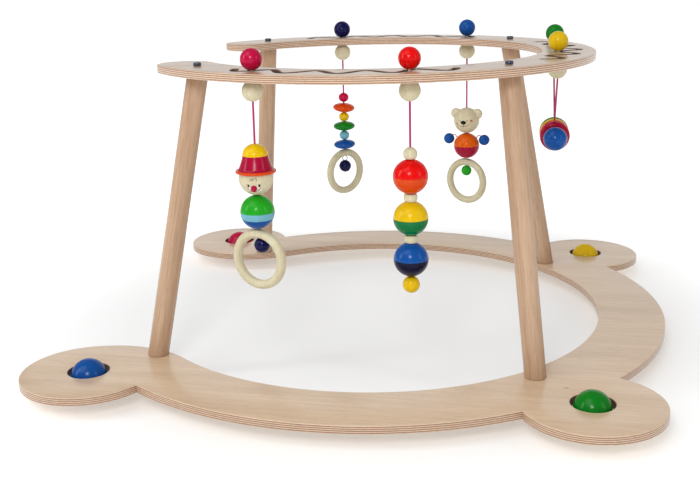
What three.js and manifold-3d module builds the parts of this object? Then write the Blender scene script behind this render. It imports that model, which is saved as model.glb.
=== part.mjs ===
// Wooden baby play gym: a plywood horseshoe base, four leaning posts, a smaller plywood
// horseshoe on top with three wave-shaped slots, and five hanging toys that slide along them.
// Millimetres, +Z up. The origin is on the floor, under the middle of the object's box.
// The open side of both horseshoes faces -X.

import * as THREE from 'three';
import { mergeVertices } from 'three/addons/utils/BufferGeometryUtils.js';
import Module from 'manifold-3d';

const wasm = await Module();
wasm.setup();

// ---------- driving dimensions ----------

const GAP = 0.3; // air between pieces that touch
const FOOT_HEIGHT = 23;
const PLY = 12; // thickness of both boards
const LEG_RISE = 418; // top face of the base to top face of the top board

const BASE_IN_R = 364;
const BASE_OUT_R = 465;
const LOBE_R = 95;
const LOBE_AT = 348; // x and y of a lobe's centre, from the ring's centre
const END_R = 150; // round inner corner at each open end
const WELL_R = 28.5;
const FOOT_BEHIND = 52; // each foot stands this far behind its lobe's well

const TOP_IN_R = 267;
const TOP_OUT_R = 347;
const TOP_END_DEG = 143; // the top board's round ends are centred here
const TOP_TURN_DEG = 3; // the top board sits turned this much on its posts

const SLOT_HALF = 5; // half of a slot's width
const SLOT_WAVE = 16; // how far the wave swings to each side
const SLOT_PERIOD_DEG = 12.9;
const SLOT_SPAN_DEG = 29.5; // to each side of the slot's middle

const LEG_D = 30;
const LEG_FOOT_AT = 273; // x and y of a leg's lower end, from the ring's centre
const LEG_TOP_R = (TOP_IN_R + TOP_OUT_R) / 2;
const BOLT_R = 3;
const BOLT_HEAD_R = 5.6;
const BOLT_HEAD_H = 4.4;
const BOLT_DEPTH = 35; // reach of the bolt into the leg
const BOLT_HOLE_R = 3.6;

const BASE_BALL_D = 50;
const BASE_BALL_DROP = 8; // ball centre below the base's top face
const AXLE_R = 2;
const AXLE_GRIP = 9; // reach of the axle into the board on each side
const GROOVE_HALF = 2.5;

const SLIDER_D = 30;
const GUIDE_D = 29;
const SPIGOT_R = 2.2;
const SPIGOT_GRIP = 9;
const CORD_D = 3;
const BIG_D = 47.5; // toy heads, bodies and chain balls
const BEAD_D = 19;

const RING_OUTER_D = 86;
const RING_TUBE_D = 13;
const BELL_D = 22.5;

// ---------- levels and places worked out from them ----------

const BASE_TOP = FOOT_HEIGHT + PLY;
const TOP_FACE = BASE_TOP + LEG_RISE;
const TOP_UNDER = TOP_FACE - PLY;
const MID_R = (TOP_IN_R + TOP_OUT_R) / 2;
const CORD_TOP = TOP_UNDER - GAP - GUIDE_D - GAP;
const RING_R = (RING_OUTER_D - RING_TUBE_D) / 2;
// the base reaches further to +X than to -X, so the ring's centre is off the box's middle
const CENTRE_X = (LOBE_AT + LOBE_R - BASE_OUT_R) / 2;

const rad = THREE.MathUtils.degToRad;
const deg = THREE.MathUtils.radToDeg;

const gym = new THREE.Group();
gym.name = 'play_gym';

// ---------- materials ----------

function paint(colour, roughness = 0.25) {
  return new THREE.MeshStandardMaterial({ color: colour, roughness, metalness: 0 });
}

const COLOURS = {
  plywood: 0xdcc09a,
  beech: 0xcfa273,
  bare_wood: 0xe8e2c0,
  pink: 0xc8104f,
  red: 0xd8161a,
  orange: 0xee6a1e,
  yellow: 0xf4c90f,
  green: 0x138c3c,
  blue: 0x1c62b4,
  dark_blue: 0x101a5c,
  cord: 0xb83c78,
  steel: 0x9a9da3,
};

function steel() {
  return new THREE.MeshStandardMaterial({ color: COLOURS.steel, roughness: 0.35, metalness: 1 });
}

// ---------- small geometry helpers ----------

// points of an arc, with one on every multiple of the step, so that round outlines
// have points exactly on their furthest edges
function arc(cx, cy, r, from, to, step) {
  const sense = Math.sign(to - from);
  const angles = [from];
  let next = (sense > 0 ? Math.floor(from / step) + 1 : Math.ceil(from / step) - 1) * step;
  while (sense * (to - next) > 1e-6) {
    if (Math.abs(next - from) > 0.3 * step && Math.abs(to - next) > 0.3 * step) angles.push(next);
    next += sense * step;
  }
  angles.push(to);
  return angles.map((a) => new THREE.Vector2(cx + r * Math.cos(rad(a)), cy + r * Math.sin(rad(a))));
}

function dropRepeats(points) {
  return points.filter((p, i) => p.distanceTo(points[(i + 1) % points.length]) > 0.01);
}

function polar(r, angle) {
  return new THREE.Vector2(r * Math.cos(rad(angle)), r * Math.sin(rad(angle)));
}

function circleHole(x, y, r, step) {
  return new THREE.Path(dropRepeats(arc(x, y, r, 0, 360, step)));
}

function extrudeUp(shape, height) {
  return new THREE.ExtrudeGeometry(shape, { depth: height, bevelEnabled: false, curveSegments: 12 });
}

// a turned piece: [radius, height] pairs from the bottom of the axis to its top,
// or a closed loop round a bore
function turned(profile, sides = 16) {
  const points = profile.map(([r, z]) => new THREE.Vector2(r, z));
  const geometry = new THREE.LatheGeometry(points, sides);
  geometry.rotateX(Math.PI / 2);
  return geometry;
}

// the quarter or half circle between two angles, as a profile, -90 at the bottom
function ballProfile(r, z = 0, from = -90, to = 90, steps = 10) {
  const profile = [];
  for (let i = 0; i <= steps; i += 1) {
    const a = rad(from + ((to - from) * i) / steps);
    const radius = Math.abs(Math.cos(a)) < 1e-9 ? 0 : r * Math.cos(a);
    profile.push([radius, z + r * Math.sin(a)]);
  }
  return profile;
}

function toSolid(geometry) {
  const bare = geometry.clone();
  bare.deleteAttribute('normal');
  bare.deleteAttribute('uv');
  const merged = mergeVertices(bare, 1e-4);
  const vertProperties = new Float32Array(merged.attributes.position.array);
  const triVerts = new Uint32Array(merged.index.array);
  return new wasm.Manifold(new wasm.Mesh({ numProp: 3, vertProperties, triVerts }));
}

function fromSolid(solid) {
  const mesh = solid.getMesh();
  const geometry = new THREE.BufferGeometry();
  geometry.setAttribute('position', new THREE.BufferAttribute(new Float32Array(mesh.vertProperties), 3));
  geometry.setIndex(new THREE.BufferAttribute(new Uint32Array(mesh.triVerts), 1));
  return geometry;
}

function join(first, ...others) {
  return fromSolid(others.reduce((sum, g) => sum.add(toSolid(g)), toSolid(first)));
}

function cut(first, ...others) {
  return fromSolid(others.reduce((sum, g) => sum.subtract(toSolid(g)), toSolid(first)));
}

function add(name, geometry, material, x = 0, y = 0, z = 0, turn = 0) {
  const mesh = new THREE.Mesh(geometry, material);
  mesh.name = name;
  mesh.position.set(x, y, z);
  mesh.rotation.z = turn;
  gym.add(mesh);
  return mesh;
}

// ---------- base board ----------

const LOBE_CENTRE_R = Math.hypot(LOBE_AT, LOBE_AT);

// the outline runs counterclockwise round the outside, from one open end to the other,
// and comes back clockwise along the inner edge
function baseOutline() {
  const step = 5;
  const notch = deg(
    Math.acos(
      (BASE_OUT_R ** 2 + LOBE_CENTRE_R ** 2 - LOBE_R ** 2) / (2 * BASE_OUT_R * LOBE_CENTRE_R),
    ),
  );
  const endDistance = BASE_IN_R + END_R;
  const endOffset = deg(
    Math.acos(
      (endDistance ** 2 + LOBE_CENTRE_R ** 2 - (END_R - LOBE_R) ** 2) / (2 * endDistance * LOBE_CENTRE_R),
    ),
  );
  const endAngle = 135 - endOffset;
  const endCentre = polar(endDistance, -endAngle);
  const lobeEnd = deg(Math.atan2(-LOBE_AT - endCentre.y, -LOBE_AT - endCentre.x));
  const corner = polar(BASE_OUT_R, -135 + notch);
  const side = deg(Math.atan2(corner.y + LOBE_AT, corner.x + LOBE_AT));
  return dropRepeats([
    ...arc(endCentre.x, endCentre.y, END_R, 180 - endAngle, lobeEnd, step),
    ...arc(-LOBE_AT, -LOBE_AT, LOBE_R, lobeEnd, 360 + side, 2 * step),
    ...arc(0, 0, BASE_OUT_R, -135 + notch, -45 - notch, step),
    ...arc(LOBE_AT, -LOBE_AT, LOBE_R, 180 - side, 360 + 90 + side, 2 * step),
    ...arc(0, 0, BASE_OUT_R, -45 + notch, 45 - notch, step),
    ...arc(LOBE_AT, LOBE_AT, LOBE_R, -90 - side, 180 + side, 2 * step),
    ...arc(0, 0, BASE_OUT_R, 45 + notch, 135 - notch, step),
    ...arc(-LOBE_AT, LOBE_AT, LOBE_R, -side, 360 - lobeEnd, 2 * step),
    ...arc(endCentre.x, -endCentre.y, END_R, -lobeEnd, endAngle - 180, step),
    ...arc(0, 0, BASE_IN_R, endAngle, -endAngle, step),
  ]);
}

const LOBES = [
  { name: 'front_left', sx: -1, sy: -1, colour: COLOURS.blue },
  { name: 'front_right', sx: 1, sy: -1, colour: COLOURS.green },
  { name: 'back_right', sx: 1, sy: 1, colour: COLOURS.yellow },
  { name: 'back_left', sx: -1, sy: 1, colour: COLOURS.pink },
];

// the axle lies square to the line from the ring's centre to the lobe's centre
function axleTurn(lobe) {
  return Math.atan2(lobe.sy, lobe.sx) + Math.PI / 2;
}

function makeBaseBoard() {
  const shape = new THREE.Shape(baseOutline());
  for (const lobe of LOBES) {
    shape.holes.push(circleHole(lobe.sx * LOBE_AT, lobe.sy * LOBE_AT, WELL_R, 15));
  }
  const board = extrudeUp(shape, PLY);
  const grooveTop = PLY - BASE_BALL_DROP + GROOVE_HALF;
  const grooves = LOBES.map((lobe) => {
    const groove = new THREE.BoxGeometry(2 * (WELL_R + AXLE_GRIP + 1), 2 * GROOVE_HALF, grooveTop + 5);
    groove.rotateZ(axleTurn(lobe));
    groove.translate(lobe.sx * LOBE_AT, lobe.sy * LOBE_AT, (grooveTop - 5) / 2);
    return groove;
  });
  return cut(board, ...grooves);
}

add('base_board', makeBaseBoard(), paint(COLOURS.plywood, 0.45), CENTRE_X, 0, FOOT_HEIGHT);

// ---------- base balls, each with its steel axle pressed through it ----------

function makeBaseBall() {
  const ball = turned(ballProfile(BASE_BALL_D / 2, 0, -90, 90, 12), 20);
  const reach = WELL_R + AXLE_GRIP;
  const axle = turned([[0, -reach], [AXLE_R, -reach], [AXLE_R, reach], [0, reach]], 8);
  axle.rotateY(Math.PI / 2);
  return join(ball, axle);
}

for (const lobe of LOBES) {
  add(
    `base_ball_${lobe.name}`,
    makeBaseBall(),
    paint(lobe.colour, 0.15),
    CENTRE_X + lobe.sx * LOBE_AT,
    lobe.sy * LOBE_AT,
    BASE_TOP - BASE_BALL_DROP,
    axleTurn(lobe),
  );
}

// ---------- top board ----------

function topOutline() {
  const step = 5;
  const halfWidth = (TOP_OUT_R - TOP_IN_R) / 2;
  const far = polar(MID_R, TOP_END_DEG);
  return dropRepeats([
    ...arc(0, 0, TOP_OUT_R, -TOP_END_DEG, TOP_END_DEG, step),
    ...arc(far.x, far.y, halfWidth, TOP_END_DEG, TOP_END_DEG + 180, 3 * step),
    ...arc(0, 0, TOP_IN_R, TOP_END_DEG, -TOP_END_DEG, step),
    ...arc(far.x, -far.y, halfWidth, 180 - TOP_END_DEG, 360 - TOP_END_DEG, 3 * step),
  ]);
}

// centre line of the slot whose middle is at the angle `middle`
function waveRadius(angle, middle) {
  return MID_R + SLOT_WAVE * Math.cos((2 * Math.PI * (angle - middle)) / SLOT_PERIOD_DEG);
}

function slotHole(middle) {
  const steps = 54;
  const left = [];
  const right = [];
  const at = (angle) => polar(waveRadius(angle, middle), angle);
  for (let i = 0; i <= steps; i += 1) {
    const angle = middle - SLOT_SPAN_DEG + (2 * SLOT_SPAN_DEG * i) / steps;
    const along = at(angle + 0.02).sub(at(angle - 0.02)).normalize();
    const normal = new THREE.Vector2(-along.y, along.x).multiplyScalar(SLOT_HALF);
    left.push(at(angle).add(normal));
    right.push(at(angle).sub(normal));
  }
  const cap = (end, start) => {
    const centre = end.clone().add(start).multiplyScalar(0.5);
    const first = deg(Math.atan2(end.y - centre.y, end.x - centre.x));
    return arc(centre.x, centre.y, SLOT_HALF, first, first - 180, 30);
  };
  right.reverse();
  return new THREE.Path(
    dropRepeats([...left, ...cap(left[steps], right[0]), ...right, ...cap(right[steps], left[0])]),
  );
}

const LEGS = [
  { name: 'front_left', sx: -1, sy: -1 },
  { name: 'front_right', sx: 1, sy: -1 },
  { name: 'back_right', sx: 1, sy: 1 },
  { name: 'back_left', sx: -1, sy: 1 },
];

function makeTopBoard() {
  const shape = new THREE.Shape(topOutline());
  for (const middle of [-90, 0, 90]) shape.holes.push(slotHole(middle));
  for (const leg of LEGS) {
    const at = polar(LEG_TOP_R, deg(Math.atan2(leg.sy, leg.sx)));
    shape.holes.push(circleHole(at.x, at.y, BOLT_HOLE_R, 36));
  }
  return extrudeUp(shape, PLY);
}

add(
  'top_board',
  makeTopBoard(),
  paint(COLOURS.plywood, 0.45),
  CENTRE_X,
  0,
  TOP_UNDER,
  rad(TOP_TURN_DEG),
);

// ---------- legs, bolts and feet ----------

// a leg is a round post that leans, with both ends cut level
function makeLeg(footAt, topAt) {
  const bottom = BASE_TOP + GAP;
  const height = TOP_UNDER - GAP - bottom;
  const lean = topAt.clone().sub(footAt);
  const stretch = Math.hypot(lean.length(), height) / height;
  const section = new THREE.Shape();
  section.absellipse(0, 0, (LEG_D / 2) * stretch, LEG_D / 2, 0, 2 * Math.PI, false, lean.angle());
  const post = extrudeUp(section, height);
  const shear = new THREE.Matrix4();
  shear.set(1, 0, lean.x / height, footAt.x, 0, 1, lean.y / height, footAt.y, 0, 0, 1, bottom, 0, 0, 0, 1);
  post.applyMatrix4(shear);
  const bore = turned(
    [[0, -BOLT_DEPTH - 3], [BOLT_HOLE_R, -BOLT_DEPTH - 3], [BOLT_HOLE_R, 5], [0, 5]],
    10,
  );
  bore.translate(topAt.x, topAt.y, TOP_UNDER);
  return cut(post, bore);
}

// socket-head bolt, its under-head face at height 0
function makeBolt() {
  const tip = -(PLY + BOLT_DEPTH);
  return turned(
    [
      [0, tip],
      [BOLT_R - 0.6, tip],
      [BOLT_R, tip + 1],
      [BOLT_R, 0],
      [BOLT_HEAD_R, 0],
      [BOLT_HEAD_R, BOLT_HEAD_H - 0.8],
      [BOLT_HEAD_R - 0.8, BOLT_HEAD_H],
      [BOLT_R, BOLT_HEAD_H],
      [BOLT_R, BOLT_HEAD_H - 2.6],
      [0, BOLT_HEAD_H - 2.6],
    ],
    12,
  );
}

function makeFoot() {
  const top = FOOT_HEIGHT - GAP;
  return turned([[0, 0], [15, 0], [17, 2], [17, top - 1], [16, top], [0, top]], 20);
}

for (const leg of LEGS) {
  const lowAt = new THREE.Vector2(CENTRE_X + leg.sx * LEG_FOOT_AT, leg.sy * LEG_FOOT_AT);
  const footAt = new THREE.Vector2(CENTRE_X + leg.sx * LOBE_AT, leg.sy * LOBE_AT + FOOT_BEHIND);
  const topAt = polar(LEG_TOP_R, deg(Math.atan2(leg.sy, leg.sx)) + TOP_TURN_DEG);
  topAt.x += CENTRE_X;
  add(`leg_${leg.name}`, makeLeg(lowAt, topAt), paint(COLOURS.beech, 0.35));
  add(`leg_bolt_${leg.name}`, makeBolt(), steel(), topAt.x, topAt.y, TOP_FACE + GAP);
  add(`foot_${leg.name}`, makeFoot(), paint(COLOURS.beech, 0.5), footAt.x, footAt.y, 0);
}

// ---------- sliders: a painted ball above the board, a bare one below, a spigot between ----------

function makeSliderBall() {
  const r = SLIDER_D / 2;
  const bore = SPIGOT_R + 0.4;
  const mouth = deg(Math.acos(bore / r));
  return turned(
    [[0, -r + SPIGOT_GRIP + 1], [bore, -r + SPIGOT_GRIP + 1], ...ballProfile(r, 0, -mouth, 90, 9)],
    14,
  );
}

function makeGuideBall() {
  const ball = turned(ballProfile(GUIDE_D / 2, 0, -90, 90, 9), 14);
  const tip = GUIDE_D / 2 + GAP + PLY + GAP + SPIGOT_GRIP;
  const spigot = turned([[0, 0], [SPIGOT_R, 0], [SPIGOT_R, tip], [0, tip]], 8);
  return join(ball, spigot);
}

const SLIDERS = {
  clown: { middle: -90, angle: -113, colour: COLOURS.pink },
  chain: { middle: -90, angle: -72.5, colour: COLOURS.red },
  rainbow: { middle: 90, angle: 108, colour: COLOURS.dark_blue },
  bear: { middle: 90, angle: 64.5, colour: COLOURS.blue },
  bar_front: { middle: 0, angle: -6.5, colour: COLOURS.yellow },
  bar_rear: { middle: 0, angle: 24.25, colour: COLOURS.green },
};

for (const [name, slider] of Object.entries(SLIDERS)) {
  const at = polar(waveRadius(slider.angle, slider.middle), slider.angle + TOP_TURN_DEG);
  slider.x = CENTRE_X + at.x;
  slider.y = at.y;
  const upper = TOP_FACE + GAP + SLIDER_D / 2;
  const lower = TOP_UNDER - GAP - GUIDE_D / 2;
  add(`slider_ball_${name}`, makeSliderBall(), paint(slider.colour, 0.12), slider.x, slider.y, upper);
  add(`guide_ball_${name}`, makeGuideBall(), paint(COLOURS.bare_wood, 0.4), slider.x, slider.y, lower);
}

// ---------- cords ----------

class Straight extends THREE.Curve {
  constructor(from, to) {
    super();
    this.from = from;
    this.to = to;
  }

  getPoint(t, target = new THREE.Vector3()) {
    return target.lerpVectors(this.from, this.to, t);
  }
}

function addCord(name, from, to) {
  const section = new THREE.Shape(dropRepeats(arc(0, 0, CORD_D / 2, 0, 360, 45)));
  const length = from.distanceTo(to);
  const options = { steps: Math.ceil(length / (3 * CORD_D)), extrudePath: new Straight(from, to) };
  add(name, new THREE.ExtrudeGeometry(section, options), paint(COLOURS.cord, 0.7));
}

function hangCord(name, slider, bottom) {
  const top = new THREE.Vector3(slider.x, slider.y, CORD_TOP);
  addCord(name, top, new THREE.Vector3(slider.x, slider.y, bottom + GAP));
}

// ---------- grab rings and bells ----------

function makeRing() {
  const tube = new THREE.TorusGeometry(RING_R, RING_TUBE_D / 2, 10, 28);
  tube.rotateX(Math.PI / 2);
  return tube;
}

function makeBell(loop) {
  const bell = turned(ballProfile(BELL_D / 2, 0, -90, 90, 8), 14);
  if (!loop) return bell;
  const post = turned([[0, 0], [1.6, 0], [1.6, BELL_D / 2 + loop], [0, BELL_D / 2 + loop]], 8);
  return join(bell, post);
}

const RING_DROP = 0.8; // air between a body and the ring tied under it

// hangs a grab ring under the height `under`, turned about the vertical; returns its tube's
// top inner height
function addRing(name, x, y, under, turn) {
  add(name, makeRing(), paint(COLOURS.bare_wood, 0.35), x, y, under - RING_DROP - RING_OUTER_D / 2, rad(turn));
  return under - RING_DROP - RING_TUBE_D;
}

function bigBall() {
  return turned(ballProfile(BIG_D / 2, 0, -90, 90, 10), 18);
}

// ---------- clown ----------

function makeClown(s) {
  const headZ = 307.8;
  const hatTop = 354.6;
  const domeFoot = 338.7;
  const coneFoot = 319;
  const brimFoot = 315.2;
  const pocket = BIG_D / 2 + 2 * GAP;
  const domeR = 17;
  const pocketFoot = deg(Math.asin((brimFoot - headZ) / pocket));
  const dome = ballProfile(1, 0, 0, 90, 6).map(([r, z]) => [r * domeR, domeFoot + z * (hatTop - domeFoot)]);
  const hat = turned(
    [
      ...ballProfile(pocket, headZ, 90, pocketFoot, 6),
      [27, brimFoot],
      [27.8, brimFoot + 1],
      [27.8, coneFoot - 1],
      [27, coneFoot],
      [24.2, coneFoot],
      ...dome,
    ],
    18,
  );
  add('clown_hat', hat, paint(COLOURS.pink, 0.15), s.x, s.y, 0);
  add('clown_head', bigBall(), paint(COLOURS.bare_wood, 0.3), s.x, s.y, headZ);
  const bodyZ = headZ - BIG_D - GAP;
  add('clown_body', bigBall(), paint(COLOURS.green, 0.15), s.x, s.y, bodyZ);
  const ringTurn = -18;
  const inner = addRing('clown_ring', s.x, s.y, bodyZ - BIG_D / 2, ringTurn);
  // the bell hangs from the back of the ring's tube
  const bellAt = polar(8, ringTurn + 90);
  const bellZ = inner - 0.2 - BELL_D / 2;
  add('clown_bell', makeBell(0), paint(COLOURS.dark_blue, 0.15), s.x + bellAt.x, s.y + bellAt.y, bellZ);
  hangCord('clown_cord', s, hatTop);
}

makeClown(SLIDERS.clown);

// ---------- ball chain ----------

function makeChain(s) {
  const pitch = 57.2;
  const topBall = 311.2;
  const endBeadD = 23.6;
  const names = ['red', 'yellow', 'blue'];
  const colours = [COLOURS.red, COLOURS.yellow, COLOURS.blue];
  names.forEach((name, i) => {
    add(`chain_ball_${name}`, bigBall(), paint(colours[i], 0.15), s.x, s.y, topBall - i * pitch);
  });
  const end = topBall - 2 * pitch - BIG_D / 2 - GAP - endBeadD / 2;
  add('chain_end_bead', turned(ballProfile(endBeadD / 2, 0, -90, 90, 8), 14), paint(COLOURS.yellow, 0.15), s.x, s.y, end);
  hangCord('chain_cord', s, topBall + BIG_D / 2);
}

makeChain(SLIDERS.chain);

// ---------- rainbow discs ----------

// a lens-shaped disc with small flats round its bore line
function lens(d, thickness, flatR, sides) {
  const half = thickness / 2;
  const edge = 2.2;
  const profile = [[0, -half], [flatR, -half]];
  const steps = 5;
  for (let i = 1; i <= steps; i += 1) {
    const t = i / steps;
    profile.push([flatR + (d / 2 - flatR) * t, -half + (half - edge) * t ** 2.2]);
  }
  const upper = profile.map(([r, z]) => [r, -z]).reverse();
  return turned([...profile, ...upper], sides);
}

function makeRainbow(s) {
  const pitch = 35;
  const thickness = 17.2;
  const topDisc = 322.7;
  const names = ['orange', 'green', 'blue'];
  names.forEach((name, i) => {
    add(`rainbow_disc_${name}`, lens(41, thickness, 7, 20), paint(COLOURS[name], 0.15), s.x, s.y, topDisc - i * pitch);
  });
  const under = topDisc - 2 * pitch - thickness / 2;
  const inner = addRing('rainbow_ring', s.x, s.y, under, 52);
  const loop = 7.5;
  add('rainbow_bell', makeBell(loop), paint(COLOURS.dark_blue, 0.15), s.x, s.y, inner - 0.7 - loop - BELL_D / 2);
  hangCord('rainbow_cord', s, topDisc + thickness / 2);
}

makeRainbow(SLIDERS.rainbow);

// ---------- bear ----------

const BEAR_TURN = -11; // the bear looks this far round from straight ahead

function makeBear(s) {
  const headZ = 297.4;
  const earOut = 20.5;
  const earUp = 12.7;
  const turn = rad(BEAR_TURN);
  const ears = [-1, 1].map((side) => {
    const ear = turned(ballProfile(9.8, 0, -90, 90, 8), 14);
    ear.scale(1, 0.55, 1);
    ear.translate(side * earOut, 0, earUp);
    return ear;
  });
  add('bear_head', join(bigBall(), ...ears), paint(COLOURS.bare_wood, 0.3), s.x, s.y, headZ, turn);
  const bodyZ = headZ - BIG_D - GAP;
  add('bear_body', bigBall(), paint(COLOURS.orange, 0.15), s.x, s.y, bodyZ);
  const handD = 20;
  for (const [name, side] of [['left', -1], ['right', 1]]) {
    const hand = turned(ballProfile(handD / 2, 0, -90, 90, 8), 12);
    const out = side * 34;
    const x = s.x + out * Math.cos(turn);
    const y = s.y + out * Math.sin(turn);
    add(`bear_hand_${name}`, hand, paint(COLOURS.blue, 0.15), x, y, bodyZ + 12);
  }
  const inner = addRing('bear_ring', s.x, s.y, bodyZ - BIG_D / 2, -27);
  const beadD = 19.4;
  const bead = turned(ballProfile(beadD / 2, 0, -90, 90, 8), 14);
  add('bear_bead', bead, paint(COLOURS.green, 0.15), s.x, s.y, inner - 0.6 - beadD / 2);
  hangCord('bear_cord', s, headZ + BIG_D / 2);
}

makeBear(SLIDERS.bear);

// ---------- bar of discs, hung level from two cords ----------

function discAt(d, thickness, centre) {
  const half = thickness / 2;
  const edge = 4.5;
  const profile = [[0, -half], [d / 2 - edge, -half]];
  const steps = 4;
  for (let i = 1; i <= steps; i += 1) {
    const a = rad(-90 + (180 * i) / steps);
    profile.push([d / 2 - edge + edge * Math.cos(a), half * Math.sin(a)]);
  }
  profile.push([0, half]);
  const disc = turned(profile, 20);
  disc.translate(0, 0, centre);
  return disc;
}

function makeBar(front, rear) {
  const discD = 47;
  const discT = 15;
  const endD = 37;
  const rodR = 3.5;
  const slant = 1; // the cords lean, so their square-cut ends stand off a little more
  const z = 315;
  const from = new THREE.Vector2(front.x, front.y);
  const to = new THREE.Vector2(rear.x, rear.y);
  const heading = to.clone().sub(from).angle();
  const along = new THREE.Vector2(Math.cos(heading), Math.sin(heading));
  const pitch = discT + GAP;
  // the cords are tied over the second and the fourth disc, so the stack hangs off-centre
  const middle = from.clone().add(to).multiplyScalar(0.5).addScaledVector(along, -0.5 * pitch);
  const ballOff = 2 * pitch + endD / 2;
  // pieces are turned about the bar's own line: +Z of a piece points from front to rear
  const lay = (geometry) => {
    geometry.rotateX(-Math.PI / 2);
    geometry.rotateZ(heading - Math.PI / 2);
    return geometry;
  };
  const endBall = (side) => {
    const ball = turned(ballProfile(endD / 2, 0, -90, 90, 10), 18);
    const boreLength = 14;
    const bore = turned([[0, 0], [rodR + 0.4, 0], [rodR + 0.4, boreLength], [0, boreLength]], 10);
    bore.translate(0, 0, side < 0 ? endD / 2 - boreLength + 4 : -endD / 2 - 4);
    const whole = cut(ball, bore);
    whole.translate(0, 0, side * ballOff);
    return whole;
  };
  const frontBore = turned([[0, -20], [rodR + 0.4, -20], [rodR + 0.4, 20], [0, 20]], 10);
  frontBore.translate(0, 0, -1.5 * pitch);
  const frontDisc = cut(discAt(discD, discT, -1.5 * pitch), frontBore);
  const rodReach = 2 * pitch + 8;
  const rod = turned([[0, -rodReach], [rodR, -rodReach], [rodR, rodReach], [0, rodReach]], 10);
  const stack = join(
    rod,
    discAt(discD, discT, -0.5 * pitch),
    discAt(discD, discT, 0.5 * pitch),
    discAt(discD, discT, 1.5 * pitch),
  );
  const place = [middle.x, middle.y, z];
  add('bar_ball_front', lay(endBall(-1)), paint(COLOURS.blue, 0.15), ...place);
  add('bar_disc_front', lay(frontDisc), paint(COLOURS.pink, 0.15), ...place);
  add('bar_discs', lay(stack), paint(COLOURS.orange, 0.15), ...place);
  add('bar_ball_rear', lay(endBall(1)), paint(COLOURS.blue, 0.15), ...place);
  const tie = (offset) => {
    const at = middle.clone().addScaledVector(along, offset);
    return new THREE.Vector3(at.x, at.y, z + discD / 2 + GAP + slant);
  };
  const hook = (slider) => new THREE.Vector3(slider.x, slider.y, CORD_TOP - slant);
  addCord('bar_cord_front', hook(front), tie(-0.5 * pitch));
  addCord('bar_cord_rear', hook(rear), tie(1.5 * pitch));
}

makeBar(SLIDERS.bar_front, SLIDERS.bar_rear);

export default gym;
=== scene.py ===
"""Looks of the wooden play gym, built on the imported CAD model. Lengths are in millimetres until a
mesh is made, and the origin is the CAD model's: on the floor, under the middle of the gym's box."""

import math

import bmesh
import bpy
from mathutils import Matrix, Vector


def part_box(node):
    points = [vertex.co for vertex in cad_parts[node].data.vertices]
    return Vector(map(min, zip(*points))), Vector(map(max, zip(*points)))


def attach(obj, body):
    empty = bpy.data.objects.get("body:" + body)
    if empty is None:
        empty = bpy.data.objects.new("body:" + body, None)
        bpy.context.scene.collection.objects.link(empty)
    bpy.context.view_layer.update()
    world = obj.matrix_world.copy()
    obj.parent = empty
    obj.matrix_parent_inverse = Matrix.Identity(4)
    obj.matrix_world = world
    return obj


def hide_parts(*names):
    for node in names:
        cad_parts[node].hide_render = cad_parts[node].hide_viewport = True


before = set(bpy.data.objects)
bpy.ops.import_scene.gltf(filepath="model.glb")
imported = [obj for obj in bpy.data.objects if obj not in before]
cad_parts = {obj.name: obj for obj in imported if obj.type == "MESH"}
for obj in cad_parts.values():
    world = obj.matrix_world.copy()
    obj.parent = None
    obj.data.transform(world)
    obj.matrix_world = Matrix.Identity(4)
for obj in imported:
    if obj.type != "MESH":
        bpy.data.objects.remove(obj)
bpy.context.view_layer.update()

MM = 0.001
UP = Vector((0.0, 0.0, 1.0))


def add_object(name, data):
    obj = bpy.data.objects.new(name, data)
    bpy.context.scene.collection.objects.link(obj)
    return obj


# ---------- camera ----------

FOCAL_PX = 1024.7  # focal length in pixels of a 700 pixel wide picture
PICTURE_WIDTH = 700
SENSOR_MM = 36.0


def make_camera(place, yaw, pitch, roll, shift):
    """A camera at a place, turned right by yaw, down by pitch and about its own line of sight by roll."""
    data = bpy.data.cameras.new("photo_camera")
    data.sensor_width = SENSOR_MM
    data.lens = FOCAL_PX / PICTURE_WIDTH * SENSOR_MM
    data.shift_x, data.shift_y = shift
    data.clip_end = 200.0
    ahead = Vector(
        (math.sin(yaw) * math.cos(pitch), math.cos(yaw) * math.cos(pitch), -math.sin(pitch))
    )
    level = Vector((math.cos(yaw), -math.sin(yaw), 0.0))
    above = level.cross(ahead)
    right = level * math.cos(roll) + above * math.sin(roll)
    top = above * math.cos(roll) - level * math.sin(roll)
    camera = add_object("photo_camera", data)
    turn = Matrix((right, top, -ahead)).transposed().to_4x4()
    camera.matrix_world = Matrix.Translation(Vector(place) * MM) @ turn
    bpy.context.scene.camera = camera


make_camera(
    place=(293.3, -1600.4, 594.7),
    yaw=-0.2086,
    pitch=0.2276,
    roll=-0.0213,
    shift=(-0.0034, -0.065),
)

# ---------- materials ----------


def srgb(red, green, blue):
    """A colour given as 0 to 255 sRGB values, as linear RGBA."""
    linear = []
    for value in (red, green, blue):
        v = value / 255
        linear.append(v / 12.92 if v <= 0.04045 else ((v + 0.055) / 1.055) ** 2.4)
    return (*linear, 1.0)


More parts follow.
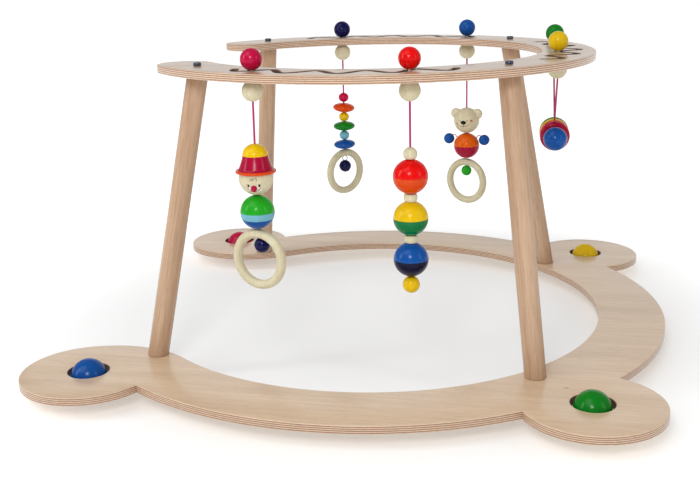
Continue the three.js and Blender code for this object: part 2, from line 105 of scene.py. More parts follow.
class Nodes:
    """A material's node tree, with short ways to add and link nodes."""

    def __init__(self, name):
        self.material = bpy.data.materials.new(name)
        self.material.use_nodes = True
        self.tree = self.material.node_tree
        self.shader = self.tree.nodes["Principled BSDF"]

    def add(self, kind, inputs=None, **settings):
        node = self.tree.nodes.new(kind)
        for key, value in settings.items():
            setattr(node, key, value)
        for key, value in (inputs or {}).items():
            self.feed(node.inputs[key], value)
        return node

    def feed(self, socket, value):
        if isinstance(value, bpy.types.NodeSocket):
            self.tree.links.new(value, socket)
        else:
            socket.default_value = value

    def math(self, operation, *values):
        node = self.add("ShaderNodeMath", operation=operation)
        for socket, value in zip(node.inputs, values):
            self.feed(socket, value)
        return node.outputs[0]

    def object_place(self):
        return self.add("ShaderNodeTexCoord").outputs["Object"]

    def place(self, scale=(1.0, 1.0, 1.0)):
        """Object coordinates in metres, stretched so that a grain can run along one axis."""
        inputs = {"Vector": self.object_place(), "Scale": scale}
        return self.add("ShaderNodeMapping", inputs).outputs["Vector"]

    def noise(self, vector, scale, detail=4.0):
        inputs = {"Vector": vector, "Scale": scale, "Detail": detail, "Roughness": 0.55}
        return self.add("ShaderNodeTexNoise", inputs).outputs["Fac"]

    def ramp(self, factor, stops):
        node = self.add("ShaderNodeValToRGB", {"Fac": factor})
        elements = node.color_ramp.elements
        while len(elements) < len(stops):
            elements.new(0.5)
        for element, (position, colour) in zip(elements, stops):
            element.position = position
            element.color = colour
        return node.outputs["Color"]

    def mix(self, factor, first, second):
        node = self.add("ShaderNodeMix", data_type="RGBA")
        self.feed(node.inputs["Factor"], factor)
        self.feed(node.inputs["A"], first)
        self.feed(node.inputs["B"], second)
        return node.outputs["Result"]

    def bump(self, height, strength, distance=0.0005):
        inputs = {"Height": height, "Strength": strength, "Distance": distance}
        self.feed(self.shader.inputs["Normal"], self.add("ShaderNodeBump", inputs).outputs["Normal"])

    def set(self, **values):
        for key, value in values.items():
            self.feed(self.shader.inputs[key.replace("_", " ")], value)


def tone(colour, factor):
    return (colour[0] * factor, colour[1] * factor, colour[2] * factor, 1.0)


def make_paint(name, colour):
    """Glossy paint on turned wood: a faint grain shows through as tone and relief."""
    nodes = Nodes(name)
    grain = nodes.noise(nodes.place((60.0, 60.0, 12.0)), 3.0)
    mottle = nodes.noise(nodes.place(), 45.0, detail=2.0)
    blend = nodes.math("MULTIPLY_ADD", mottle, 0.5, nodes.math("MULTIPLY", grain, 0.5))
    nodes.set(Base_Color=nodes.ramp(blend, [(0.3, tone(colour, 0.86)), (0.7, tone(colour, 1.06))]))
    nodes.set(Roughness=nodes.math("MULTIPLY_ADD", mottle, 0.08, 0.16))
    nodes.set(Specular_IOR_Level=0.2)
    nodes.bump(grain, 0.06, 0.0003)
    return nodes.material


def make_wood(name, light, dark, along=(1.0, 1.0, 0.08), flecks=0.35):
    """Lacquered solid wood: soft bands and short dark flecks, both stretched along the grain."""
    nodes = Nodes(name)
    bands = nodes.noise(nodes.place(tuple(60.0 * a for a in along)), 1.0, detail=3.0)
    fine = nodes.noise(nodes.place(tuple(420.0 * a for a in along)), 1.0, detail=5.0)
    fleck = nodes.noise(nodes.place(tuple(900.0 * a for a in along)), 1.0, detail=1.0)
    spots = nodes.math("MULTIPLY", nodes.math("GREATER_THAN", fleck, 0.66), flecks)
    body = nodes.math("MULTIPLY_ADD", fine, 0.45, nodes.math("MULTIPLY", bands, 0.55))
    colour = nodes.ramp(body, [(0.32, dark), (0.68, light)])
    colour = nodes.mix(spots, colour, tone(dark, 0.72))
    nodes.set(Base_Color=colour)
    nodes.set(Roughness=nodes.math("MULTIPLY_ADD", fine, 0.15, 0.31))
    nodes.set(Specular_IOR_Level=0.4)
    nodes.bump(fine, 0.1, 0.0003)
    return nodes.material


PLY_COUNT = 9
KNOT_COLOUR = srgb(88, 62, 48)
GLUE_COLOUR = srgb(112, 70, 50)
WHITE = (1.0, 1.0, 1.0, 1.0)
BLACK = (0.0, 0.0, 0.0, 1.0)
KNOT_SQUASH = 2.2  # a knot's length along the grain over its width


def veneer_colour(nodes, streak, light, dark, knot):
    """The face veneer: bands, streaks and short flecks along X, and a knot if one is given."""
    bands = nodes.noise(nodes.place((3.0, 26.0, 26.0)), 1.0)
    fleck = nodes.noise(nodes.place((90.0, 1100.0, 1100.0)), 1.0, detail=1.0)
    body = nodes.math("MULTIPLY_ADD", streak, 0.45, nodes.math("MULTIPLY", bands, 0.55))
    veneer = nodes.ramp(body, [(0.33, dark), (0.66, light)])
    spots = nodes.math("MULTIPLY", nodes.math("GREATER_THAN", fleck, 0.64), 0.3)
    veneer = nodes.mix(spots, veneer, tone(dark, 0.62))
    if knot:
        x, y, z = knot
        here = nodes.place((1.0, KNOT_SQUASH, 1.0))
        centre = (x * MM, KNOT_SQUASH * y * MM, z * MM)
        distance = nodes.add("ShaderNodeVectorMath", {0: here, 1: centre}, operation="DISTANCE")
        mark = nodes.ramp(distance.outputs["Value"], [(0.0016, WHITE), (0.0042, BLACK)])
        veneer = nodes.mix(mark, veneer, KNOT_COLOUR)
    return veneer


def edge_colour(nodes, level):
    """The plies seen edge on: their grain crosses from one to the next, with dark glue between."""
    ply = nodes.math("MULTIPLY", level, float(PLY_COUNT))
    phase = nodes.math("FRACT", ply)
    from_line = nodes.math("MINIMUM", phase, nodes.math("SUBTRACT", 1.0, phase))
    line = nodes.ramp(from_line, [(0.04, WHITE), (0.14, BLACK)])
    cross = nodes.math("GREATER_THAN", nodes.math("FRACT", nodes.math("MULTIPLY", ply, 0.5)), 0.5)
    fibre = nodes.noise(nodes.place((220.0, 220.0, 900.0)), 1.0, detail=3.0)
    end_grain = nodes.ramp(fibre, [(0.3, srgb(146, 106, 80)), (0.7, srgb(170, 130, 100))])
    long_grain = nodes.ramp(fibre, [(0.3, srgb(206, 176, 146)), (0.7, srgb(228, 204, 178))])
    return nodes.mix(line, nodes.mix(cross, long_grain, end_grain), GLUE_COLOUR)


def make_plywood(name, bottom, thickness, light, dark, knot=None):
    """Beech plywood: veneer with its grain along X, and plies with dark glue lines at the edge."""
    nodes = Nodes(name)
    streak = nodes.noise(nodes.place((14.0, 300.0, 300.0)), 1.0)
    veneer = veneer_colour(nodes, streak, light, dark, knot)
    height = nodes.add("ShaderNodeSeparateXYZ", {0: nodes.object_place()}).outputs["Z"]
    level = nodes.math("SUBTRACT", height, bottom * MM)
    level = nodes.math("DIVIDE", level, thickness * MM)
    wave = nodes.noise(nodes.place((8.0, 8.0, 0.0)), 1.0, detail=1.0)
    level = nodes.math("ADD", level, nodes.math("MULTIPLY", nodes.math("SUBTRACT", wave, 0.5), 0.03))
    inside = nodes.math("COMPARE", level, 0.5, 0.455)
    nodes.set(Base_Color=nodes.mix(inside, veneer, edge_colour(nodes, level)))
    nodes.set(Roughness=nodes.math("MULTIPLY_ADD", streak, 0.14, 0.36))
    nodes.set(Coat_Weight=0.6, Coat_Roughness=0.2)
    nodes.bump(streak, 0.06, 0.0003)
    return nodes.material


def make_metal(name, colour, roughness):
    nodes = Nodes(name)
    brushed = nodes.noise(nodes.place((500.0, 500.0, 2500.0)), 1.0, detail=3.0)
    nodes.set(Base_Color=nodes.ramp(brushed, [(0.3, tone(colour, 0.8)), (0.7, colour)]), Metallic=1.0)
    nodes.set(Roughness=nodes.math("MULTIPLY_ADD", brushed, 0.2, roughness))
    nodes.bump(brushed, 0.05, 0.0002)
    return nodes.material


def make_cord_material(name, colour):
    """Braid: two sets of slanting strands, with painted shade in the grooves between them."""
    nodes = Nodes(name)
    along = nodes.place()
    strands = []
    for lean in (0.9, -0.9):
        turned = nodes.add("ShaderNodeMapping", {"Vector": along, "Rotation": (lean, lean, 0.0)})
        inputs = {"Vector": turned.outputs["Vector"], "Scale": 260.0, "Distortion": 0.4}
        wave = nodes.add("ShaderNodeTexWave", inputs, bands_direction="Z")
        strands.append(wave.outputs["Fac"])
    braid_and_groove_shade = nodes.math("MAXIMUM", *strands)
    # the ramp's dark end is painted shade between the strands; the same pattern also gives the relief
    nodes.set(Base_Color=nodes.ramp(braid_and_groove_shade, [(0.25, tone(colour, 0.55)), (0.8, colour)]))
    nodes.set(Roughness=0.75, Sheen_Weight=0.3)
    nodes.bump(braid_and_groove_shade, 0.5, 0.0004)
    return nodes.material


PAINTS = {
    "pink": srgb(186, 2, 62),
    "red": srgb(224, 3, 2),
    "orange": srgb(212, 66, 1),
    "bear_orange": srgb(220, 92, 2),
    "yellow": srgb(222, 182, 4),
    "green": srgb(4, 120, 22),
    "leaf_green": srgb(30, 158, 28),
    "sea_green": srgb(2, 112, 58),
    "blue": srgb(8, 76, 152),
    "light_blue": srgb(112, 174, 192),
    "dark_blue": srgb(4, 5, 68),
    "night_blue": srgb(4, 3, 44),
    "magenta": srgb(162, 1, 50),
    "white": srgb(226, 222, 206),
    "black": srgb(14, 9, 9),
    "hair_grey": srgb(126, 134, 114),
    "blush": srgb(190, 92, 68),
}
PAINT = {name: make_paint("paint_" + name, colour) for name, colour in PAINTS.items()}
BARE_WOOD = make_wood("bare_wood", srgb(212, 205, 174), srgb(192, 180, 146), flecks=0.16)
BEECH = make_wood("beech", srgb(202, 172, 144), srgb(168, 132, 102), along=(1.0, 1.0, 0.05))
# the walls of the slots and wells, in dark wood that is painted shade for the shadow inside them
SHADED_CUT_WALL = make_wood("cut_wall_painted_shade", srgb(116, 88, 70), srgb(80, 56, 44), along=(1.0, 1.0, 4.0))
STEEL = make_metal("steel", srgb(84, 88, 102), 0.22)
DARK_STEEL = make_metal("dark_steel", srgb(58, 62, 74), 0.3)
CORD = make_cord_material("cord", srgb(182, 20, 96))

# ---------- mesh helpers ----------


def make_object(name, verts, faces, materials, smooth=True, sharp_degrees=38.0):
    mesh = bpy.data.meshes.new(name)
    mesh.from_pydata([Vector(v) * MM for v in verts], [], faces)
    for material in materials:
        mesh.materials.append(material)
    if smooth:
        mesh.shade_smooth()
        mesh.set_sharp_from_angle(angle=math.radians(sharp_degrees))
    mesh.update()
    return add_object(name, mesh)


def skin(rings, sides, closed=False):
    """Faces between rings of points that follow one another. The last ring meets the first if closed,
    and otherwise both ends get a cap."""
    faces = []
    for i in range(rings if closed else rings - 1):
        for k in range(sides):
            a = i * sides
            b = (i + 1) % rings * sides
            after = (k + 1) % sides
            faces.append((a + k, a + after, b + after, b + k))
    if not closed:
        faces.append(tuple(reversed(range(sides))))
        faces.append(tuple(range((rings - 1) * sides, rings * sides)))
    return faces


def put(obj, at, turn=None):
    matrix = Matrix.Translation(Vector(at) * MM)
    if turn is not None:
        matrix = matrix @ turn.to_4x4()
    obj.matrix_world = matrix
    return obj


def finish_piece(obj, body, slot, *nodes):
    """The piece moves with its CAD body and stands for those CAD nodes, which are hidden. Its slot is not
    used.
    """
    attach(obj, body)
    if nodes:
        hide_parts(*nodes)
    return obj


def lathe(name, profile, materials, bands=(), sides=48):
    """Turns a profile of (radius, height) about Z. bands are (height, material number): faces above
    that height take that material."""
    verts = []
    faces = []
    rings = []
    for radius, height in profile:
        if radius < 1e-6:
            rings.append([len(verts)])
            verts.append((0.0, 0.0, height))
            continue
        ring = []
        for i in range(sides):
            angle = 2 * math.pi * i / sides
            ring.append(len(verts))
            verts.append((radius * math.cos(angle), radius * math.sin(angle), height))
        rings.append(ring)
    for low, high in zip(rings, rings[1:]):
        for i in range(sides):
            j = (i + 1) % sides
            corners = [low[i % len(low)], low[j % len(low)], high[j % len(high)], high[i % len(high)]]
            face = list(dict.fromkeys(corners))
            if len(face) > 2:
                faces.append(face)
    obj = make_object(name, verts, faces, materials)
    for polygon in obj.data.polygons:
        height = polygon.center.z / MM
        for limit, number in bands:
            if height > limit:
                polygon.material_index = number
    return obj


WOODS_AND_METALS = {"bare_wood": BARE_WOOD, "beech": BEECH, "steel": STEEL}


def turn_piece(name, node, body, slot, profile, at, turn=None, materials=None, bands=(), sides=48):
    """A lathe piece in its place, which rides with a body and may stand for a CAD node. Its
    materials are its slot's own, unless others are given."""
    own = WOODS_AND_METALS.get(slot) or PAINT[slot]
    obj = lathe(name, profile, materials or [own], bands, sides)
    put(obj, at, turn)
    return finish_piece(obj, body, slot, *([node] if node else []))


GROOVE_DEPTH = 0.3


def ball_profile(radius, bore=1.7, grooves=(), steps=30):
    """A bored ball from its lower pole to its upper one, with shallow grooves at some heights."""
    edge = math.acos(bore / radius)
    rows = []
    for i in range(steps + 1):
        angle = -edge + 2 * edge * i / steps
        rows.append((radius * math.cos(angle), radius * math.sin(angle)))
    for height in grooves:
        rows = [row for row in rows if abs(row[1] - height) > 0.9]
        for offset, cut in ((-0.45, 0.0), (-0.12, GROOVE_DEPTH), (0.12, GROOVE_DEPTH), (0.45, 0.0)):
            z = height + offset
            rows.append((math.sqrt(radius**2 - z**2) - cut, z))
    rows.sort(key=lambda row: row[1])
    lip = [(0.0, rows[0][1] + 4), (bore, rows[0][1] + 4), (bore, rows[0][1] + 0.4)]
    start = [(bore + 0.4, rows[0][1] + 0.05)]
    end = [(bore + 0.4, rows[-1][1] - 0.05)]
    top = [(bore, rows[-1][1] - 0.4), (bore, rows[-1][1] - 4), (0.0, rows[-1][1] - 4)]
    return lip + start + rows[1:-1] + end + top


def middle(node):
    low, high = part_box(node)
    return (low + high) / 2 / MM


def top_of(node):
    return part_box(node)[1].z / MM


def bottom_of(node):
    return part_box(node)[0].z / MM


def tube(name, points, radius, material, sides=12, closed=False):
    """A round tube along points, with flat ends."""
    points = [Vector(p) for p in points]
    verts = []
    count = len(points)
    side = None
    for i, point in enumerate(points):
        before = points[i - 1] if closed or i else points[i]
        after = points[(i + 1) % count] if closed or i + 1 < count else points[i]
        ahead = (after - before).normalized()
        if side is None:
            side = ahead.orthogonal().normalized()
        side = (side - ahead * side.dot(ahead)).normalized()
        other = ahead.cross(side)
        for k in range(sides):
            angle = 2 * math.pi * k / sides
            verts.append(point + radius * (math.cos(angle) * side + math.sin(angle) * other))
    faces = skin(count, sides, closed)
    return make_object(name, verts, faces, [material], sharp_degrees=50)


# ---------- cords ----------

CORD_POINTS = 15
CORD_DIAMETER = 3.0
CORD_INSET = Vector((1.2, 1.0, 1.0))  # how far inside its box a slanting cord's middle line ends


def make_cord(node, body, from_point, to_point):
    start = Vector(from_point)
    end = Vector(to_point)
    data = bpy.data.curves.new("hanging_" + node, "CURVE")
    data.dimensions = "3D"
    data.bevel_depth = CORD_DIAMETER / 2 * MM
    data.bevel_resolution = 4
    data.use_fill_caps = True
    spline = data.splines.new("POLY")
    spline.points.add(CORD_POINTS - 1)
    for i, point in enumerate(spline.points):
        place = start.lerp(end, i / (CORD_POINTS - 1)) * MM
        point.co = (*place, 1.0)
    data.materials.append(CORD)
    obj = add_object("hanging_" + node, data)
    finish_piece(obj, body, "cord", node)


def hang_cord(node, body):
    centre = middle(node)
    make_cord(node, body, (centre.x, centre.y, top_of(node)), (centre.x, centre.y, bottom_of(node)))


for toy in ("clown", "chain", "rainbow", "bear"):
    hang_cord(toy + "_cord", toy + "_toy")
for cord_end, side in (("front", 1.0), ("rear", -1.0)):
    # each cord of the bar leans towards its middle as it goes down
    low, high = (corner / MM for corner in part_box("bar_cord_" + cord_end))
    half = (high - low) / 2 - CORD_INSET
    reach = Vector((side * half.x, -side * half.y, half.z))
    make_cord("bar_cord_" + cord_end, "bar_toy", (low + high) / 2 + reach, (low + high) / 2 - reach)

# ---------- boards ----------

BASE_TOP = top_of("base_board")
BASE_BOTTOM = bottom_of("base_board")
TOP_FACE = top_of("top_board")
TOP_UNDER = bottom_of("top_board")
ARRIS = 1.3  # radius of the boards' rounded edges

BASE_IN_R = 364
BASE_OUT_R = 465
LOBE_R = 95
LOBE_AT = 348  # x and y of each lobe from the centre of the base
END_R = 150  # the curve that leads from the inner edge round into a lobe at the open side
WELL_R = 28.5
CENTRE_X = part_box("base_board")[1].x / MM - BASE_OUT_R


def arc(cx, cy, radius, start, end, step=2.0):
    count = max(2, math.ceil(abs(end - start) / step))
    points = []
    for i in range(count + 1):
        angle = math.radians(start + (end - start) * i / count)
        points.append(Vector((cx + radius * math.cos(angle), cy + radius * math.sin(angle))))
    return points


def polar(radius, angle):
    return Vector((radius * math.cos(math.radians(angle)), radius * math.sin(math.radians(angle))))


def drop_repeats(points):
    return [p for i, p in enumerate(points) if (p - points[i - 1]).length > 0.02]


def area(points):
    return sum(a.cross(b) for a, b in zip(points, points[1:] + points[:1])) / 2


def inset(points, distance):
    """The outline moved sideways into the wood, which lies on its left."""
    moved = []
    for i, point in enumerate(points):
        back = (point - points[i - 1]).normalized()
        ahead = (points[(i + 1) % len(points)] - point).normalized()
        normal = Vector((-back.y - ahead.y, back.x + ahead.x))
        if normal.length < 1e-6:
            normal = Vector((-ahead.y, ahead.x))
        normal.normalize()
        spread = max(0.45, normal.dot(Vector((-ahead.y, ahead.x))))
        moved.append(point + normal * distance / spread)
    return moved


def plate(name, outer, holes, bottom, top, materials, turn=0.0):
    """A board with rounded edges, cut to an outline with holes, whose walls take the second material."""
    loops = [outer if area(outer) > 0 else outer[::-1]]
    loops += [hole if area(hole) < 0 else hole[::-1] for hole in holes]
    rows = []
    for i in range(5):
        angle = math.radians(90 - 22.5 * i)
        rows.append((ARRIS * (1 - math.cos(angle)), bottom + ARRIS * (1 - math.sin(angle))))
    rows += [(depth, bottom + top - height) for depth, height in reversed(rows)]
    mesh = bmesh.new()
    rims = {0: [], len(rows) - 1: []}
    spin = Matrix.Rotation(math.radians(turn), 2)
    for loop_number, loop in enumerate(loops):
        rings = []
        for depth, height in rows:
            ring = []
            for p in inset(loop, depth):
                q = spin @ p
                ring.append(mesh.verts.new(Vector((q.x + CENTRE_X, q.y, height)) * MM))
            rings.append(ring)
        for low, high in zip(rings, rings[1:]):
            for i in range(len(low)):
                j = (i + 1) % len(low)
                wall = mesh.faces.new((low[i], low[j], high[j], high[i]))
                wall.material_index = 1 if loop_number else 0
        for number in rims:
            ring = rings[number]
            for i in range(len(ring)):
                rims[number].append(mesh.edges.get((ring[i], ring[(i + 1) % len(ring)])))
    for face in mesh.faces:
        face.smooth = True
    for number, edges in rims.items():
        normal = UP if number else -UP
        bmesh.ops.triangle_fill(mesh, use_beauty=True, edges=edges, normal=normal)
    bmesh.ops.recalc_face_normals(mesh, faces=mesh.faces)
    data = bpy.data.meshes.new(name)
    mesh.to_mesh(data)
    mesh.free()
    for material in materials:
        data.materials.append(material)
    data.set_sharp_from_angle(angle=math.radians(40))
    return add_object(name, data)


def base_outline():
    lobe_far = math.hypot(LOBE_AT, LOBE_AT)
    notch = math.degrees(
        math.acos((BASE_OUT_R**2 + lobe_far**2 - LOBE_R**2) / (2 * BASE_OUT_R * lobe_far))
    )
    end_far = BASE_IN_R + END_R
    end_off = math.degrees(
        math.acos((end_far**2 + lobe_far**2 - (END_R - LOBE_R) ** 2) / (2 * end_far * lobe_far))
    )
    end_angle = 135 - end_off
    end = polar(end_far, -end_angle)
    lobe_end = math.degrees(math.atan2(-LOBE_AT - end.y, -LOBE_AT - end.x))
    corner = polar(BASE_OUT_R, -135 + notch)
    side = math.degrees(math.atan2(corner.y + LOBE_AT, corner.x + LOBE_AT))
    points = arc(end.x, end.y, END_R, 180 - end_angle, lobe_end)
    points += arc(-LOBE_AT, -LOBE_AT, LOBE_R, lobe_end, 360 + side, 3)
    points += arc(0, 0, BASE_OUT_R, -135 + notch, -45 - notch)
    points += arc(LOBE_AT, -LOBE_AT, LOBE_R, 180 - side, 450 + side, 3)
    points += arc(0, 0, BASE_OUT_R, -45 + notch, 45 - notch)
    points += arc(LOBE_AT, LOBE_AT, LOBE_R, -90 - side, 180 + side, 3)
    points += arc(0, 0, BASE_OUT_R, 45 + notch, 135 - notch)
    points += arc(-LOBE_AT, LOBE_AT, LOBE_R, -side, 360 - lobe_end, 3)
    points += arc(end.x, -end.y, END_R, -lobe_end, end_angle - 180)
    points += arc(0, 0, BASE_IN_R, end_angle, -end_angle)
    return drop_repeats(points)


LOBES = {
    "front_left": (-1, -1, "blue"),
    "front_right": (1, -1, "green"),
    "back_right": (1, 1, "yellow"),
    "back_left": (-1, 1, "pink"),
}
GROOVE_HALF = 2.5
AXLE_REACH = 37.5  # half the length of an axle


def cut_axle_grooves(board):
    """Cuts the axle grooves into the underside of the base, square to the lines through the lobes."""
    cutters = []
    for name, (sx, sy, _) in LOBES.items():
        axle_z = middle("base_ball_" + name).z
        top = axle_z + GROOVE_HALF
        low = BASE_BOTTOM - 5
        x = AXLE_REACH + 1
        y = GROOVE_HALF
        corners = ((-x, -y), (x, -y), (x, y), (-x, y))
        verts = [(*corner, height) for height in (low, top) for corner in corners]
        cutter = make_object("groove_" + name, verts, skin(2, 4), [], smooth=False)
        angle = math.atan2(sy, sx) + math.pi / 2
        put(cutter, (CENTRE_X + sx * LOBE_AT, sy * LOBE_AT, 0), Matrix.Rotation(angle, 3, "Z"))
        modifier = board.modifiers.new("groove", "BOOLEAN")
        modifier.operation = "DIFFERENCE"
        modifier.solver = "EXACT"
        modifier.object = cutter
        cutters.append(cutter)
    bpy.context.view_layer.update()
    evaluated = board.evaluated_get(bpy.context.evaluated_depsgraph_get())
    cut = bpy.data.meshes.new_from_object(evaluated)
    board.modifiers.clear()
    board.data = cut
    for cutter in cutters:
        bpy.data.objects.remove(cutter)


def make_base():
    holes = [
        arc(sx * LOBE_AT, sy * LOBE_AT, WELL_R, 0, 360, 6)[:-1] for sx, sy, _ in LOBES.values()
    ]
    material = make_plywood(
        "plywood_base",
        BASE_BOTTOM,
        BASE_TOP - BASE_BOTTOM,
        srgb(224, 198, 167),
        srgb(202, 171, 138),
        knot=(303.5, -305.3, BASE_TOP),
    )
    board = plate("base_plate", base_outline(), holes, BASE_BOTTOM, BASE_TOP, [material, SHADED_CUT_WALL])
    cut_axle_grooves(board)
    finish_piece(board, "frame", "plywood", "base_board")


TOP_IN_R = 267
TOP_OUT_R = 347
TOP_MID_R = (TOP_IN_R + TOP_OUT_R) / 2
TOP_END_DEG = 143  # where each arm's round end is centred
TOP_TURN_DEG = 3
BOLT_HOLE_R = 3.6
SLOT_HALF = 5  # half the slot's width
SLOT_WAVE = 16
SLOT_PERIOD_DEG = 12.9
SLOT_SPAN_DEG = 29.5
SLOT_STEPS = 180


def slot_outline(centre):
    """A wave round the middle of the board, as wide as the slot and with round ends."""

    def at(angle):
        radius = TOP_MID_R + SLOT_WAVE * math.cos(2 * math.pi * (angle - centre) / SLOT_PERIOD_DEG)
        return polar(radius, angle)

    left = []
    right = []
    for i in range(SLOT_STEPS + 1):
        angle = centre - SLOT_SPAN_DEG + 2 * SLOT_SPAN_DEG * i / SLOT_STEPS
        along = (at(angle + 0.02) - at(angle - 0.02)).normalized()
        normal = Vector((-along.y, along.x)) * SLOT_HALF
        left.append(at(angle) + normal)
        right.append(at(angle) - normal)
    right.reverse()

    def cap(start, end):
        mid = (start + end) / 2
        first = math.degrees(math.atan2(start.y - mid.y, start.x - mid.x))
        return arc(mid.x, mid.y, SLOT_HALF, first, first - 180, 15)

    return drop_repeats(left + cap(left[-1], right[0]) + right + cap(right[-1], left[0]))


def make_top():
    far = polar(TOP_MID_R, TOP_END_DEG)
    half = (TOP_OUT_R - TOP_IN_R) / 2
    outline = arc(0, 0, TOP_OUT_R, -TOP_END_DEG, TOP_END_DEG)
    outline += arc(far.x, far.y, half, TOP_END_DEG, TOP_END_DEG + 180, 6)
    outline += arc(0, 0, TOP_IN_R, TOP_END_DEG, -TOP_END_DEG)
    outline += arc(far.x, -far.y, half, 180 - TOP_END_DEG, 360 - TOP_END_DEG, 6)
    holes = [slot_outline(centre) for centre in (-90, 0, 90)]
    for sx, sy, _ in LOBES.values():
        bolt = polar(TOP_MID_R, math.degrees(math.atan2(sy, sx)))
        holes.append(arc(bolt.x, bolt.y, BOLT_HOLE_R, 0, 360, 20)[:-1])
    material = make_plywood(
        "plywood_top", TOP_UNDER, TOP_FACE - TOP_UNDER, srgb(196, 168, 140), srgb(168, 136, 108)
    )
    board = plate(
        "top_plate",
        drop_repeats(outline),
        holes,
        TOP_UNDER,
        TOP_FACE,
        [material, SHADED_CUT_WALL],
        TOP_TURN_DEG,
    )
    finish_piece(board, "frame", "plywood", "top_board")


make_base()
make_top()

# ---------- legs, bolts and feet ----------

LEG_R = 15.0
LEG_SIDES = 48
LEG_FOOT_AT = 273  # x and y of each post's lower end from the centre of the base
LEG_EDGE = [(0.0, 1.0), (0.4, 0.3), (1.0, 0.0)]  # along the post and in from its side


def leg_rings(length):
    rings = list(LEG_EDGE)
    rings += [(length * i / 8, 0.0) for i in range(1, 8)]
    rings += [(length - along, inward) for along, inward in reversed(LEG_EDGE)]
    return rings


def make_leg(name, sx, sy):
    bolt = middle("leg_bolt_" + name)
    bottom = Vector((CENTRE_X + sx * LEG_FOOT_AT, sy * LEG_FOOT_AT, bottom_of("leg_" + name)))
    top = Vector((bolt.x, bolt.y, top_of("leg_" + name)))
    lean = (top - bottom).normalized()
    across = UP.cross(lean).normalized()
    turn = Matrix((across, lean.cross(across), lean)).transposed()
    rings = leg_rings((top - bottom).length)
    verts = []
    for along, inward in rings:
        for k in range(LEG_SIDES):
            angle = 2 * math.pi * k / LEG_SIDES
            round_point = Vector((math.cos(angle), math.sin(angle), 0.0)) * (LEG_R - inward)
            # the ends are cut level, so each ring slides along the post until it lies flat
            slide = (turn @ round_point).z / lean.z
            verts.append((round_point.x, round_point.y, along - slide))
    leg = make_object("post_" + name, verts, skin(len(rings), LEG_SIDES), [BEECH])
    put(leg, bottom, turn)
    finish_piece(leg, "frame", "beech", "leg_" + name)


def loft(name, loops, material):
    """Skins loops of equal point count, and closes only the last one."""
    verts = [point for loop in loops for point in loop]
    faces = skin(len(loops), len(loops[0]))
    faces.pop(-2)
    return make_object(name, verts, faces, [material], sharp_degrees=30)


def circle_loop(radius, height, count=24):
    return [(*polar(radius, 360 * i / count), height) for i in range(count)]


def hex_loop(across, height, count=24):
    """Points on a hexagon, as many as on a round loop, so that the two can be skinned together."""
    loop = []
    for i in range(count):
        angle = 360 * i / count
        from_flat = (angle + 30) % 60 - 30
        loop.append((*polar(across / 2 / math.cos(math.radians(from_flat)), angle), height))
    return loop


BOLT_HEAD = 4.4  # height of a bolt's head
BOLT_SHANK = 47
BOLT_SHANK_R = 3.0


def make_bolt(name):
    centre = middle("leg_bolt_" + name)
    top = top_of("leg_bolt_" + name)
    loops = [
        circle_loop(BOLT_SHANK_R, -(BOLT_HEAD + BOLT_SHANK)),
        circle_loop(BOLT_SHANK_R, -BOLT_HEAD),
        circle_loop(5.2, -BOLT_HEAD),
        circle_loop(5.6, -BOLT_HEAD + 0.4),
        circle_loop(5.6, -1.0),
        circle_loop(5.3, -0.35),
        circle_loop(4.7, 0.0),
        hex_loop(5.4, 0.0),
        hex_loop(5.1, -0.3),
        hex_loop(5.0, -2.7),
    ]
    bolt = loft("socket_bolt_" + name, loops, STEEL)
    put(bolt, (centre.x, centre.y, top))
    finish_piece(bolt, "frame", "steel", "leg_bolt_" + name)
    # a dark steel disc at the foot of the hex socket, painted shade in the recess
    at = (centre.x, centre.y, top - 2.6)
    well = [(0.0, 0.0), (2.2, 0.0), (2.45, 0.05)]
    turn_piece("bolt_socket_shade_" + name, None, "frame", "steel", well, at, materials=[DARK_STEEL], sides=24)


def make_foot(name):
    centre = middle("foot_" + name)
    top = top_of("foot_" + name)
    profile = [
        (0.0, 5.0),
        (6.0, 5.0),
        (6.2, 0.6),
        (7.0, 0.0),
        (14.6, 0.0),
        (16.2, 0.6),
        (17.0, 2.0),
        (17.0, top - 1.2),
        (16.6, top - 0.4),
        (15.8, top),
        (0.0, top),
    ]
    at = (centre.x, centre.y, 0)
    turn_piece("turned_foot_" + name, "foot_" + name, "frame", "beech", profile, at)
    loops = [
        circle_loop(5.5, 4.9),
        circle_loop(5.5, 3.0),
        circle_loop(4.6, 2.2),
        hex_loop(4.2, 2.2),
        hex_loop(4.0, 4.4),
    ]
    screw = loft("foot_screw_" + name, loops, STEEL)
    put(screw, at)
    finish_piece(screw, "frame", "steel")


for lobe_name, (side_x, side_y, _) in LOBES.items():
    make_leg(lobe_name, side_x, side_y)
    make_bolt(lobe_name)
    make_foot(lobe_name)

# ---------- base balls and their axles ----------


BASE_BALL_R = 25.0
AXLE_R = 2.0


def make_base_ball(name, sx, sy, colour):
    node = "base_ball_" + name
    centre = middle(node)
    square_to_lobe = Matrix.Rotation(math.atan2(sy, sx) + math.pi / 2, 3, "Z")
    along = square_to_lobe @ Matrix.Rotation(math.pi / 2, 3, "Y")
    body = "rolling_ball_" + name
    rows = ball_profile(BASE_BALL_R, bore=AXLE_R + 0.2, steps=40)
    turn_piece("rolling_" + name, node, body, colour, rows, centre, along, sides=64)
    half_rod = [(AXLE_R, AXLE_REACH - 0.5), (AXLE_R - 0.4, AXLE_REACH), (0.0, AXLE_REACH)]
    rod = [(radius, -height) for radius, height in reversed(half_rod)] + half_rod
    turn_piece("axle_" + name, None, body, "steel", rod, centre, along, sides=24)


for lobe_name, (side_x, side_y, lobe_colour) in LOBES.items():
    make_base_ball(lobe_name, side_x, side_y, lobe_colour)

# ---------- sliders ----------

SLIDERS = {
    "clown": ("clown_slider", "pink"),
    "chain": ("chain_slider", "red"),
    "rainbow": ("rainbow_slider", "dark_blue"),
    "bear": ("bear_slider", "blue"),
    "bar_front": ("bar_sliders", "yellow"),
    "bar_rear": ("bar_sliders", "green"),
}


SLIDER_R = 15.0
GUIDE_R = 14.5
SPIGOT_R = 2.2
SPIGOT_TOP = 35.6  # from the middle of the guide ball


